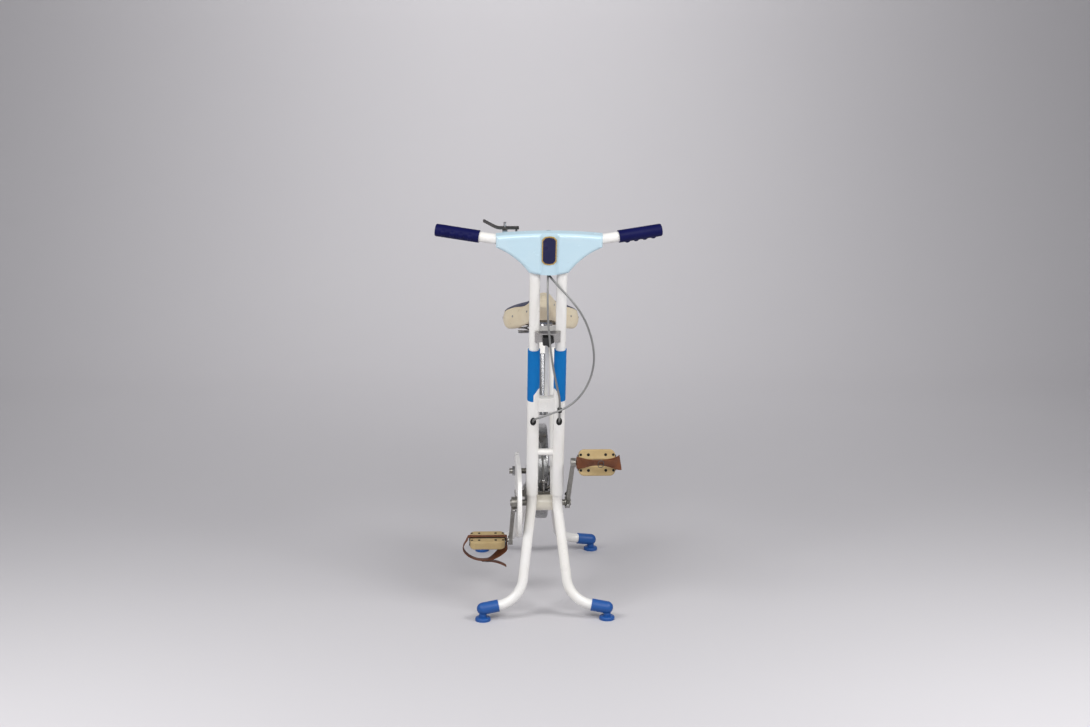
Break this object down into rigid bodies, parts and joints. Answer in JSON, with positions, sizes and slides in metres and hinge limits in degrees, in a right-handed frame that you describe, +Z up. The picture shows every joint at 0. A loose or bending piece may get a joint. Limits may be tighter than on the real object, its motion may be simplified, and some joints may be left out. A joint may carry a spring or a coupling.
{
  "type": "exercise bike",
  "caption": "Upright exercise bike with a telescoping twin-tube column, cowled handlebar, sprung saddle, chain-driven flywheel, rim brake and strapped pedals on splayed tube legs.",
  "frame": {"origin": "on the floor, under the middle of the whole object's bounding box", "axes": "+X to the rider's left, +Y to the rear, +Z up; the handlebar's cowl faces -Y"},
  "size_m": [0.5336, 0.7303, 1.0244],
  "materials": {
    "white_paint": "gloss ivory-white enamel",
    "blue_plastic": "moulded blue plastic",
    "navy_rubber": "soft navy vinyl",
    "pale_plastic": "glossy pale blue plastic",
    "chrome": "bright chrome plate",
    "steel": "dull plated steel",
    "iron": "dark grey cast iron",
    "black_plastic": "black moulded plastic",
    "black_rubber": "black rubber",
    "cream_rubber": "cream rubber tread",
    "strap_leather": "brown leather",
    "saddle_vinyl": "cream and navy vinyl",
    "cable_jacket": "grey wound cable casing",
    "dial_white": "printed dial",
    "needle_red": "red pointer",
    "clear": "clear lens"
  },
  "bodies": {
    "frame": {"column_tubes": "white_paint", "column_sleeves": "blue_plastic", "column_bridge": "white_paint", "column_brace": "white_paint", "clamp_stay": "white_paint", "clamp_plate": "steel", "bracket_shell": "white_paint", "bracket_cups": "steel", "seat_tubes": "white_paint", "seat_collar": "white_paint", "seat_binder_bolt": "chrome", "front_legs": "white_paint", "rear_legs": "white_paint", "feet": "blue_plastic", "cable_fittings": "black_rubber", "chain_guard": "white_paint", "guard_studs": "steel", "chain": "steel", "bearing_plates": "white_paint", "brake_bridge": "chrome", "brake_cable": "cable_jacket", "speedometer_cable": "cable_jacket"},
    "clamp_knob": {"clamp_knob": "black_plastic"},
    "handlebar": {"riser_tubes": "white_paint", "handlebar": "white_paint", "cowl": "pale_plastic", "dash": "pale_plastic", "grips": "navy_rubber", "lever_clamp": "chrome", "speedometer_case": "black_plastic", "speedometer_dial": "dial_white", "speedometer_bezel": "black_plastic", "speedometer_lens": "clear"},
    "speedometer_needle": {"speedometer_needle": "needle_red"},
    "brake_lever": {"brake_lever": "chrome"},
    "brake_arm_left": {"brake_arm_left": "chrome", "brake_pad_left": "black_rubber"},
    "brake_arm_right": {"brake_arm_right": "chrome", "brake_pad_right": "black_rubber"},
    "crankset": {"spindle": "steel", "chainwheel": "steel", "cranks": "steel", "cotter_pins": "steel", "pedal_axles": "steel"},
    "pedal_left": {"pedal_left": "steel", "pedal_blocks_left": "cream_rubber", "pedal_strap_left": "strap_leather"},
    "pedal_right": {"pedal_right": "steel", "pedal_blocks_right": "cream_rubber", "pedal_strap_right": "strap_leather"},
    "flywheel": {"flywheel": "iron", "flywheel_shaft": "steel", "sprocket": "steel", "shaft_nuts": "chrome"},
    "seat_post": {"seat_post": "chrome"},
    "saddle": {"saddle_clamp": "chrome", "saddle_frame": "chrome", "saddle_springs": "chrome", "saddle_pan": "steel", "saddle_pad": "saddle_vinyl"}
  },
  "joints": [
    {"name": "clamp_turn", "type": "hinge", "parent": "frame", "child": "clamp_knob", "pos_m": [0, -0.27757, 0.73858], "axis": [0, 0.9668, 0.2554], "range_deg": [-180, 180]},
    {"name": "handlebar_slide", "type": "slide", "parent": "frame", "child": "handlebar", "axis": [0, -0.2554, 0.9668], "range_m": [-0.05, 0.07], "deforming": ["brake_cable", "speedometer_cable"]},
    {"name": "needle_swing", "type": "hinge", "parent": "handlebar", "child": "speedometer_needle", "pos_m": [0, -0.31363, 0.96902], "axis": [0, -0.9668, -0.2554], "range_deg": [0, 260]},
    {"name": "lever_swing", "type": "hinge", "parent": "handlebar", "child": "brake_lever", "pos_m": [-0.103, -0.32741, 1.00158], "axis": [0, 0.2554, -0.9668], "range_deg": [0, 35], "deforming": ["brake_cable"]},
    {"name": "brake_left_close", "type": "hinge", "parent": "frame", "child": "brake_arm_left", "pos_m": [0, -0.0753, 0.29088], "axis": [0, -1, 0], "range_deg": [0, 1.4]},
    {"name": "brake_right_close", "type": "hinge", "parent": "frame", "child": "brake_arm_right", "pos_m": [0, -0.0753, 0.29088], "axis": [0, 1, 0], "range_deg": [0, 1.4]},
    {"name": "flywheel_spin", "type": "hinge", "parent": "frame", "child": "flywheel", "pos_m": [0, 0.07435, 0.31003], "axis": [1, 0, 0], "continuous": true},
    {"name": "crank_spin", "type": "hinge", "parent": "frame", "child": "crankset", "pos_m": [0, -0.1223, 0.279], "axis": [1, 0, 0], "continuous": true, "deforming": ["chain"]},
    {"name": "pedal_left_spin", "type": "hinge", "parent": "crankset", "child": "pedal_left", "pos_m": [0.128, -0.204, 0.4048], "axis": [1, 0, 0], "continuous": true},
    {"name": "pedal_right_spin", "type": "hinge", "parent": "crankset", "child": "pedal_right", "pos_m": [-0.144, -0.0406, 0.1532], "axis": [1, 0, 0], "continuous": true},
    {"name": "seat_slide", "type": "slide", "parent": "frame", "child": "seat_post", "axis": [0, 0.2924, 0.9563], "range_m": [-0.03, 0.06]},
    {"name": "saddle_tilt", "type": "hinge", "parent": "seat_post", "child": "saddle", "pos_m": [0, 0.01366, 0.7237], "axis": [1, 0, 0], "range_deg": [-12, 12]}
  ],
  "couplings": [
    {"joint": "brake_left_close", "follows": "lever_swing", "ratio": 0.04},
    {"joint": "brake_right_close", "follows": "lever_swing", "ratio": 0.04},
    {"joint": "crank_spin", "follows": "flywheel_spin", "ratio": 0.5}
  ]
}
